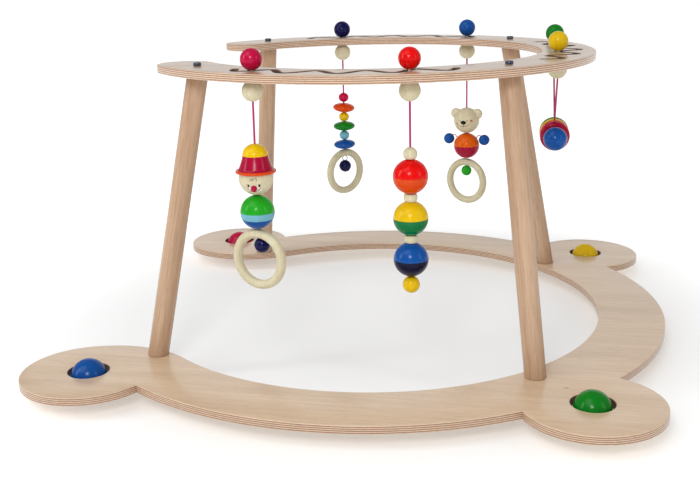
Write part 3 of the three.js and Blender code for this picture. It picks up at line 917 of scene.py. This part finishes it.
def make_slider(name, body, colour):
    """The ball on top of the board."""
    node = "slider_ball_" + name
    centre = middle(node)
    centre.z = top_of(node) - SLIDER_R
    # the upper pole is whole: the spigot is glued in from below
    near_pole = 1.3
    profile = ball_profile(SLIDER_R, bore=2.6)[:-4]
    profile += [(near_pole, math.sqrt(SLIDER_R**2 - near_pole**2)), (0.0, SLIDER_R)]
    turn_piece("slider_" + name, node, body, colour, profile, centre)


def make_guide(name, body):
    """The ball under the board, with the spigot that goes up through the slot."""
    node = "guide_ball_" + name
    centre = middle(node)
    centre.z = bottom_of(node) + GUIDE_R
    shoulder = math.sqrt(GUIDE_R**2 - SPIGOT_R**2)
    profile = [row for row in ball_profile(GUIDE_R, bore=1.9)[:-4] if row[1] < shoulder]
    profile += [(SPIGOT_R, shoulder), (SPIGOT_R, SPIGOT_TOP - 0.4)]
    profile += [(SPIGOT_R - 0.4, SPIGOT_TOP), (0.0, SPIGOT_TOP)]
    turn_piece("guide_" + name, node, body, "bare_wood", profile, centre)


for slider_name, (slider_body, slider_colour) in SLIDERS.items():
    make_slider(slider_name, slider_body, slider_colour)
    make_guide(slider_name, slider_body)

# ---------- toys ----------


def turn_z(degrees):
    return Matrix.Rotation(math.radians(degrees), 3, "Z")


RING_R = 36.5  # to the middle of the ring's own thickness
RING_TUBE_R = 6.5


def make_ring(node, body, degrees):
    points = [(p.x, 0.0, p.y) for p in arc(0, 0, RING_R, 0, 355, 5)]
    ring = tube("grab_" + node, points, RING_TUBE_R, BARE_WOOD, sides=28, closed=True)
    put(ring, middle(node), turn_z(degrees))
    finish_piece(ring, body, "bare_wood", node)


def inner_cord(name, body, x, y, top, bottom):
    """The stretch of a toy's cord that runs inside its beads."""
    cord = tube(name, [(x, y, top), (x, y, bottom)], 1.2, CORD)
    finish_piece(cord, body, "cord")


def on_sphere(longitude, latitude):
    """The direction of a point on a toy's head, in degrees: longitude 0 faces -Y."""
    lon = math.radians(longitude)
    lat = math.radians(latitude)
    return Vector((math.sin(lon) * math.cos(lat), -math.cos(lon) * math.cos(lat), math.sin(lat)))


BIG_R = 23.75
SPOT_RINGS = 5
SPOT_SIDES = 24


def spot(name, normal, size, material, squash, lift, roll):
    """A small painted patch on a head: size is its half width, squash its height over its width."""
    side = normal.cross(UP).normalized()
    up = side.cross(normal)
    across = side * math.cos(roll) + up * math.sin(roll)
    upward = up * math.cos(roll) - side * math.sin(roll)
    verts = [normal * (BIG_R + lift)]
    for i in range(1, SPOT_RINGS + 1):
        share = i / SPOT_RINGS
        # the rim dips just under the paint of the ball
        height = BIG_R + lift * (1 - share**4) - (0.05 if i == SPOT_RINGS else 0.0)
        for k in range(SPOT_SIDES):
            angle = 2 * math.pi * k / SPOT_SIDES
            sideways = across * (size * share * math.cos(angle))
            flat = normal * BIG_R + sideways + upward * (size * share * squash * math.sin(angle))
            verts.append(flat.normalized() * height)
    faces = [(0, 1 + k, 1 + (k + 1) % SPOT_SIDES) for k in range(SPOT_SIDES)]
    for i in range(SPOT_RINGS - 1):
        for k in range(SPOT_SIDES):
            a = 1 + i * SPOT_SIDES + k
            b = 1 + i * SPOT_SIDES + (k + 1) % SPOT_SIDES
            faces.append((a, a + SPOT_SIDES, b + SPOT_SIDES, b))
    return make_object(name, verts, faces, [material], sharp_degrees=80)


def brush_line(name, dots, width, material):
    """A painted line on a head, through (longitude, latitude) dots, drawn as a low tube."""
    path = []
    steps = 6
    for first, last in zip(dots, dots[1:]):
        for i in range(steps):
            point = Vector(first).lerp(Vector(last), i / steps)
            path.append(on_sphere(*point) * BIG_R)
    path.append(on_sphere(*dots[-1]) * BIG_R)
    return tube(name, path, width / 2, material, sides=8)


class Face:
    """Paints features on a toy's head, each a piece of its own that rides with the toy."""

    def __init__(self, toy, centre, degrees, body):
        self.toy = toy
        self.centre = centre
        self.turn = turn_z(degrees)
        self.body = body

    def keep(self, obj):
        put(obj, self.centre, self.turn)
        finish_piece(obj, self.body, "bare_wood")

    def spot(self, part, lon, lat, size, paint, squash=1.0, roll=0, lift=0.12):
        name = f"{self.toy}_{part}"
        roll = math.radians(roll)
        self.keep(spot(name, on_sphere(lon, lat), size, PAINT[paint], squash, lift, roll))

    def line(self, part, dots, width, paint):
        self.keep(brush_line(f"{self.toy}_{part}", dots, width, PAINT[paint]))


# heights of the clown's head and hat above the floor
HEAD_Z = 307.8
BRIM_FOOT = 315.2
CONE_FOOT = 319.0
DOME_FOOT = 338.7
HAT_TOP = 354.6
POCKET_R = BIG_R + 0.5  # the hat's hollow, with room for the head
BRIM_R = 27.8
CONE_R = 24.0
DOME_R = 17.4
CLOWN_FACING = 8.0


def hat_pocket():
    """The hollow under the hat, from the crown of the head out to the brim."""
    steps = 8
    crown = math.degrees(math.asin((BRIM_FOOT - HEAD_Z) / POCKET_R))
    rows = [(0.0, HEAD_Z + POCKET_R)]
    for i in range(1, steps + 1):
        p = polar(POCKET_R, 90 - i * (90 - crown) / steps)
        rows.append((p.x, HEAD_Z + p.y))
    return rows


def hat_outside():
    """The hat from its brim up the cone, which flares a little, and over the dome."""
    rows = [(26.8, BRIM_FOOT), (27.5, BRIM_FOOT + 0.4), (BRIM_R, BRIM_FOOT + 1.1)]
    rows += [(BRIM_R, CONE_FOOT - 1.3), (27.5, CONE_FOOT - 0.6), (26.9, CONE_FOOT - 0.2)]
    rows += [(25.0, CONE_FOOT - 0.1), (24.35, CONE_FOOT + 0.4)]
    for i in range(1, 12):
        t = i / 12
        flare = (CONE_R - DOME_R) * (1 - t) ** 1.25
        rows.append((DOME_R + flare, CONE_FOOT + t * (DOME_FOOT - CONE_FOOT)))
    rows += [(DOME_R, DOME_FOOT - 0.3), (DOME_R - 0.3, DOME_FOOT), (DOME_R, DOME_FOOT + 0.3)]
    for i in range(1, 15):
        angle = math.radians(90 * i / 15)
        height = DOME_FOOT + (HAT_TOP - DOME_FOOT) * math.sin(angle)
        rows.append((DOME_R * math.cos(angle) ** 0.9, height))
    return rows + [(1.6, HAT_TOP - 0.05), (1.5, HAT_TOP - 3), (0.0, HAT_TOP - 3)]


def paint_pocket(cap):
    """The hollow under the hat is orange like the brim. Its faces look down or lie near the axis, so
    the outside of the hat, which the hollow's round also meets, keeps its own paint."""
    for polygon in cap.data.polygons:
        place = polygon.center / MM
        off_axis = place.xy.length
        inner = polygon.normal.z < -0.2 or (off_axis < 16 and place.z < 330)
        on_pocket = (Vector((0, 0, HEAD_Z)) - place).length < POCKET_R + 0.2
        if inner and on_pocket and off_axis < POCKET_R:
            polygon.material_index = 0


def paint_clown_face(head, body):
    face = Face("clown", head, CLOWN_FACING, body)
    face.spot("muzzle_left", -17, -30, 6.0, "white", 0.6, roll=-38)
    face.spot("muzzle_right", 17, -30, 6.0, "white", 0.6, roll=38)
    face.spot("chin", 0, -42, 6.0, "white", 0.6)
    smile = [(-25, -26), (-16, -37), (-7, -43), (0, -44), (7, -43), (16, -37), (25, -26)]
    face.line("smile", smile, 0.9, "black")
    face.line("lip", [(-8, -41.4), (0, -43.2), (8, -41.4)], 1.4, "red")
    face.spot("eye_left", -19, -18, 1.5, "black", 1.35)
    face.spot("eye_right", 19, -18, 1.5, "black", 1.35)
    face.line("brow_left", [(-25, -13.5), (-20, -12), (-15, -13)], 0.5, "black")
    face.line("brow_right", [(15, -13), (20, -12), (25, -13.5)], 0.5, "black")
    curl = [(-13, 0), (-10, 6), (-5, 8), (-1, 4), (-4, 1), (-7, 3)]
    face.line("curl_a", curl, 0.8, "hair_grey")
    face.line("curl_b", [(-1, 5), (4, 9), (10, 7), (11, 2), (6, 1)], 0.8, "hair_grey")


def make_clown():
    body = "clown_toy"
    x, y = middle("clown_hat").xy
    cap = lathe(
        "clown_cap",
        hat_pocket() + hat_outside(),
        [PAINT["orange"], PAINT["magenta"], PAINT["yellow"]],
        bands=((CONE_FOOT, 1), (DOME_FOOT, 2)),
        sides=64,
    )
    paint_pocket(cap)
    put(cap, (x, y, 0))
    finish_piece(cap, body, "pink", "clown_hat")
    head = (x, y, HEAD_Z)
    turn_piece("clown_face_ball", "clown_head", body, "bare_wood", ball_profile(BIG_R), head)
    paint_clown_face(head, body)
    nose = ball_profile(4.5, bore=0.4, steps=16)
    ahead = turn_z(CLOWN_FACING) @ Vector((0, -1, 0))
    at = Vector((x, y, HEAD_Z - 10.6)) + ahead * (BIG_R - 2.4)
    turn_piece("clown_nose", None, body, "pink", nose, at, materials=[PAINT["magenta"]], sides=24)
    stripe = -9.6
    turn_piece(
        "clown_trunk",
        "clown_body",
        body,
        "green",
        ball_profile(BIG_R, grooves=(0.0, stripe)),
        (x, y, HEAD_Z - 2 * BIG_R - 0.3),
        materials=[PAINT["blue"], PAINT["light_blue"], PAINT["leaf_green"]],
        bands=((stripe, 1), (0.0, 2)),
    )
    make_ring("clown_ring", "clown_grab_ring", -18)
    make_bell("clown", 8.4, 70)


BELL_R = 11.25


def bell_rows():
    """A bell with a raised seam round its middle."""
    rows = [row for row in ball_profile(BELL_R, bore=0.3)[4:-4] if abs(row[1]) > 1.0]
    below = [row for row in rows if row[1] < 0]
    above = [row for row in rows if row[1] > 0]
    ridge = [(BELL_R + 0.05, -0.9), (BELL_R + 0.35, -0.6), (BELL_R + 0.35, 0.6), (BELL_R + 0.05, 0.9)]
    return [(0.0, -BELL_R)] + below + ridge + above + [(0.0, BELL_R)]


def make_bell(toy, loop_height, loop_turn):
    """A round bell with two slits that cross below, drawn as black lines of painted shade, and a wire loop
    above.
    """
    node = toy + "_bell"  # its body has the same name
    centre = middle(node)
    at = (centre.x, centre.y, bottom_of(node) + BELL_R)
    turn_piece(toy + "_jingle", node, node, "dark_blue", bell_rows(), at)
    # each slit is a raised black line: painted shade for the dark inside of the bell
    for number, angle in enumerate((0, 90)):
        path = []
        for i in range(13):
            around = polar(BELL_R, -90 - 48 + 96 * i / 12)
            path.append((*polar(around.x, angle), around.y))
        slit = tube(f"{toy}_jingle_slot_{number}", path, 0.55, PAINT["black"], sides=8)
        put(slit, at)
        finish_piece(slit, node, "dark_blue")
    loop_r = loop_height / 2
    wire = []
    for i in range(32):
        around = polar(loop_r, 360 * i / 32)
        wire.append((around.x, 0.0, BELL_R - 0.8 + loop_r + around.y))
    loop = tube(toy + "_jingle_loop", wire, 0.65, DARK_STEEL, sides=10, closed=True)
    put(loop, at, turn_z(loop_turn))
    finish_piece(loop, node, "steel")


HALVES = ((0.0, 1),)  # the second paint starts at the middle
CHAIN_BALLS = {"red": ("orange", "red"), "yellow": ("sea_green", "yellow"), "blue": ("night_blue", "blue")}


def crown_bead():
    """The chain's top bead, a ball on a narrow foot."""
    rows = [(0.0, 0.5), (1.9, 0.3), (6.6, 0.3), (7.3, 0.9)]
    rows += [(p.x, 6.7 + p.y) for p in arc(0, 0, 9.5, -29, 70, 9)]
    return rows + [(1.7, 16.1), (1.6, 12.0), (0.0, 12.0)]


def spacer_bead():
    """A bead between two balls, with ends hollowed to sit on their round."""
    side = []
    for i in range(11):
        angle = math.radians(-68 + 136 * i / 10)
        side.append((6.9 + 2.6 * math.cos(angle), 5.5 * math.sin(angle)))
    return [(0.0, -4.4), (1.8, -4.45), (6.9, -5.3)] + side + [(6.9, 5.3), (1.8, 4.45), (0.0, 4.4)]


def make_chain():
    body = "chain_toy"
    for name, (lower, upper) in CHAIN_BALLS.items():
        node = "chain_ball_" + name
        own_body = f"chain_{name}_ball"
        paints = [PAINT[lower], PAINT[upper]]
        rows = ball_profile(BIG_R, grooves=(0.0,))
        at = middle(node)
        turn_piece("two_tone_" + name, node, own_body, name, rows, at, materials=paints, bands=HALVES)
    x, y, z = middle("chain_ball_red")
    red_top = z + BIG_R
    turn_piece("chain_bead_top", None, body, "bare_wood", crown_bead(), (x, y, red_top))
    for number, below in ((1, "yellow"), (2, "blue")):
        at = (x, y, middle("chain_ball_" + below).z + BIG_R + 4.85)
        turn_piece(f"chain_bead_{number}", None, body, "bare_wood", spacer_bead(), at)
    end = middle("chain_end_bead")
    turn_piece("chain_tail_bead", "chain_end_bead", body, "yellow", ball_profile(11.8), end)
    inner_cord("chain_inner_cord", body, x, y, red_top + 14, end.z - 8)


LENS_R = 20.3
LENS_HALF = 8.5
LENS_TILT = {"orange": 4.0, "green": -1.0, "blue": -2.5}
# each small bead's paint, slot, the disc under it and its height above that disc
RAINBOW_BEADS = (
    ("pink", "pink", "orange", 19.3),
    ("yellow", "yellow", "green", 17.5),
    ("light_blue", "blue", "blue", 17.5),
)


def lens_rows():
    rows = [(0.0, -LENS_HALF), (1.8, -LENS_HALF)]
    for i in range(1, 30):
        angle = math.radians(-90 + 180 * i / 30)
        rows.append((LENS_R * math.cos(angle) ** 0.92, LENS_HALF * math.sin(angle)))
    return rows + [(1.8, LENS_HALF), (0.0, LENS_HALF)]


def make_rainbow():
    body = "rainbow_toy"
    centres = {name: middle("rainbow_disc_" + name) for name in LENS_TILT}
    for name, tilt in LENS_TILT.items():
        node = "rainbow_disc_" + name
        turn = Matrix.Rotation(math.radians(tilt), 3, "Y")
        own_body = f"rainbow_{name}_disc"
        turn_piece(f"rainbow_lens_{name}", node, own_body, name, lens_rows(), centres[name], turn)
    x, y = centres["orange"].xy
    flatter = 8.6 / 9.5
    rows = [(radius, height * flatter) for radius, height in ball_profile(9.5, steps=24)]
    for colour, slot, disc, above in RAINBOW_BEADS:
        at = (x, y, centres[disc].z + above)
        turn_piece(f"rainbow_bead_{colour}", None, body, slot, rows, at, materials=[PAINT[colour]])
    cord_top = centres["orange"].z + RAINBOW_BEADS[0][-1] + 6
    inner_cord("rainbow_inner_cord", body, x, y, cord_top, centres["blue"].z - 9.2)
    make_ring("rainbow_ring", "rainbow_grab_ring", 52)
    make_bell("rainbow", 9.4, 35)


BEAR_FACING = -11.0
EAR_R = 9.7
SIDES = (("left", -1), ("right", 1))


def make_ear(name, side, head, body):
    rows = [(0.0, -EAR_R)] + ball_profile(EAR_R, bore=0.3, steps=24)[4:-4] + [(0.0, EAR_R)]
    flat = Matrix.Diagonal((1.0, 0.6, 1.0))
    turn = turn_z(BEAR_FACING)
    at = head + turn @ Vector((side * 20.5, 0.0, 12.7))
    turn_piece("bear_ear_" + name, None, body, "bare_wood", rows, at, turn @ flat)


def paint_bear_face(head, body):
    face = Face("bear", head, BEAR_FACING, body)
    face.spot("nose", 1, -3, 5.4, "black", 0.68, lift=1.4)
    face.spot("eye_left", -14, 5, 1.0, "black")
    face.spot("eye_right", 18, 6, 1.0, "black")
    smile = [(-34, -10), (-27, -16), (-15, -21), (0, -22), (14, -19), (26, -12), (35, -3), (40, 4)]
    face.line("smile", smile, 0.7, "blush")
    face.line("lip", [(1, -9), (1, -21)], 0.7, "black")
    mouth = [(-8, -18.5), (-3, -21.5), (1, -20), (5, -21.5), (10, -18.5)]
    face.line("mouth", mouth, 0.6, "black")
    face.spot("cheek_left", -33, -10, 2.8, "blush", 0.6, roll=50)
    face.spot("cheek_right", 38, 5, 3.4, "blush", 0.5, roll=35)


def make_hand(name, side, trunk, body):
    """A hand bead on its own body, and the loop of cord from the trunk that carries it."""
    node = "bear_hand_" + name
    hand = middle(node)
    turn = turn_z(BEAR_FACING)
    rows = ball_profile(10.0, bore=1.2)
    lie = turn @ Matrix.Rotation(math.pi / 2, 3, "Y")
    turn_piece("bear_paw_" + name, node, f"bear_{name}_hand", "blue", rows, hand, lie)
    inward = turn @ Vector((-side, 0.0, 0.0))
    start = trunk - inward * 18.5 + UP * 14.5
    finish = hand + inward * 6.0 + UP * 6.0
    points = []
    for i in range(11):
        t = i / 10
        points.append(start.lerp(finish, t) + UP * (16.0 * t * (1 - t)))
    arm = tube("bear_arm_cord_" + name, points, 0.8, CORD, sides=10)
    finish_piece(arm, body, "cord")


def make_bear():
    body = "bear_toy"
    trunk = middle("bear_body")
    head = Vector((trunk.x, trunk.y, bottom_of("bear_head") + BIG_R))
    turn_piece("bear_face_ball", "bear_head", body, "bare_wood", ball_profile(BIG_R), head)
    for name, side in SIDES:
        make_ear(name, side, head, body)
    paint_bear_face(head, body)
    paints = [PAINT["magenta"], PAINT["bear_orange"]]
    rows = ball_profile(BIG_R, grooves=(0.0,))
    turn_piece("bear_trunk", "bear_body", body, "orange", rows, trunk, materials=paints, bands=HALVES)
    for name, side in SIDES:
        make_hand(name, side, trunk, body)
    make_ring("bear_ring", "bear_grab_ring", -27)
    drop = "bear_bead"  # its body has the same name
    rows = ball_profile(9.7, bore=1.5)
    turn_piece("bear_drop_bead", drop, drop, "green", rows, middle(drop), materials=[PAINT["leaf_green"]])


BAR_PITCH = 15.3  # from disc to disc
BAR_BALL_R = 18.5
DISC_R = 23.5
DISC_HALF = 7.5
DISC_EDGE = 5.5
DISC_BORE = 3.6
# each disc's paint, slot and CAD node: the orange node holds the yellow and green discs too
BAR_DISCS = (
    ("magenta", "pink", "bar_disc_front"),
    ("orange", "orange", "bar_discs"),
    ("yellow", "yellow", None),
    ("green", "green", None),
)


def disc_rows():
    rows = [(0.0, 3 - DISC_HALF), (DISC_BORE, 3 - DISC_HALF)]
    rows += [(DISC_BORE, 0.4 - DISC_HALF), (DISC_BORE + 0.4, -DISC_HALF)]
    for i in range(13):
        angle = math.radians(-90 + 180 * i / 12)
        rows.append((DISC_R - DISC_EDGE + DISC_EDGE * math.cos(angle), DISC_HALF * math.sin(angle)))
    rows += [(DISC_BORE + 0.4, DISC_HALF), (DISC_BORE, DISC_HALF - 0.4)]
    return rows + [(DISC_BORE, DISC_HALF - 3), (0.0, DISC_HALF - 3)]


def make_bar():
    body = "bar_toy"
    front = middle("bar_ball_front")
    rear = middle("bar_ball_rear")
    along = (rear - front).normalized()
    side = UP.cross(along).normalized()
    lie = Matrix((side, along.cross(side), along)).transposed()
    centre = (front + rear) / 2
    rows = ball_profile(BAR_BALL_R, bore=0.6)
    for name, sign in (("front", -1), ("rear", 1)):
        at = centre + along * sign * (2 * BAR_PITCH + BAR_BALL_R)
        turn_piece("bar_end_" + name, "bar_ball_" + name, body, "blue", rows, at, lie)
    for number, (colour, slot, node) in enumerate(BAR_DISCS):
        at = centre + along * BAR_PITCH * (number - 1.5)
        turn_piece("bar_disc_" + colour, node, body, slot, disc_rows(), at, lie, materials=[PAINT[colour]])
    ends = [centre + along * sign * (2 * BAR_PITCH + 6) for sign in (-1, 1)]
    rod = tube("bar_rod", ends, 3.4, BARE_WOOD, sides=20)
    finish_piece(rod, body, "bare_wood")


make_clown()
make_chain()
make_rainbow()
make_bear()
make_bar()

# ---------- floor, lights and view ----------

FLOOR_HALF = 60000.0
PAINTED_FLOOR_GLOW = 0.5  # painted light: the floor glows by itself, which whitens it far off and keeps the shadows pale
# the weaker glow near the gym, painted shade round it
GLOW_IN_PAINTED_SHADE = 0.3


def make_floor():
    corners = ((-1, -1), (1, -1), (1, 1), (-1, 1))
    verts = [(x * FLOOR_HALF, y * FLOOR_HALF, 0) for x, y in corners]
    nodes = Nodes("floor")
    coords = nodes.place()
    mottle = nodes.noise(coords, 0.6, detail=1.0)
    away = nodes.add("ShaderNodeVectorMath", {0: coords}, operation="LENGTH").outputs["Value"]
    # near the gym the floor is a darker grey and glows less, painted shade; further out it glows white,
    # painted light
    reach = nodes.add("ShaderNodeMapRange", {0: away, 1: 0.3, 2: 0.95}, interpolation_type="SMOOTHSTEP")
    pale = nodes.ramp(mottle, [(0.2, tone(WHITE, 0.93)), (0.8, tone(WHITE, 0.95))])
    nodes.set(Base_Color=nodes.mix(reach.outputs[0], (0.66, 0.67, 0.67, 1.0), pale))
    nodes.set(Roughness=0.6, Specular_IOR_Level=0.1)
    painted_glow = nodes.math("MULTIPLY_ADD", reach.outputs[0], PAINTED_FLOOR_GLOW - GLOW_IN_PAINTED_SHADE, GLOW_IN_PAINTED_SHADE)
    nodes.set(Emission_Color=WHITE, Emission_Strength=painted_glow)
    floor = make_object("floor", verts, [(0, 1, 2, 3)], [nodes.material], smooth=False)


def add_light(name, kind, energy, direction, place=(0.0, 0.0, 0.0)):
    """A light that shines from the given direction; place is in metres."""
    data = bpy.data.lights.new(name, kind)
    data.energy = energy
    light = add_object(name, data)
    turn = Vector(direction).normalized().to_track_quat("Z", "Y").to_matrix().to_4x4()
    light.matrix_world = Matrix.Translation(place) @ turn
    return data


def add_area(name, place, target, width, height, power):
    data = add_light(name, "AREA", power, Vector(place) - Vector(target), place)
    data.shape = "RECTANGLE"
    data.size = width
    data.size_y = height


def add_sun(name, direction, strength, spread_degrees):
    """A far light, so soft that it stands for a whole lit wall."""
    data = add_light(name, "SUN", strength, direction)
    data.angle = math.radians(spread_degrees)


def make_light():
    world = bpy.data.worlds.new("studio")
    world.use_nodes = True
    background = world.node_tree.nodes["Background"]
    background.inputs["Color"].default_value = WHITE
    background.inputs["Strength"].default_value = 0.4
    bpy.context.scene.world = world
    add_sun("key_sun", (-0.55, -0.6, 1.25), 0.7, 40.0)
    add_area("front", (0.1, -1.95, 1.25), (0.0, 0.0, 0.28), 0.5, 0.5, 14)
    add_area("box_left", (-2.2, -1.1, 1.2), (0.0, 0.0, 0.25), 0.35, 1.4, 11)
    add_area("box_right", (2.4, -0.9, 1.2), (0.0, 0.0, 0.25), 0.3, 1.4, 6)
    add_area("backdrop", (0.0, 4.2, 1.6), (0.0, 0.0, 1.6), 7.0, 2.2, 30)
    view = bpy.context.scene.view_settings
    view.view_transform = "Standard"
    view.look = "None"
    view.exposure = 0.0
    view.gamma = 1.0


make_floor()
make_light()
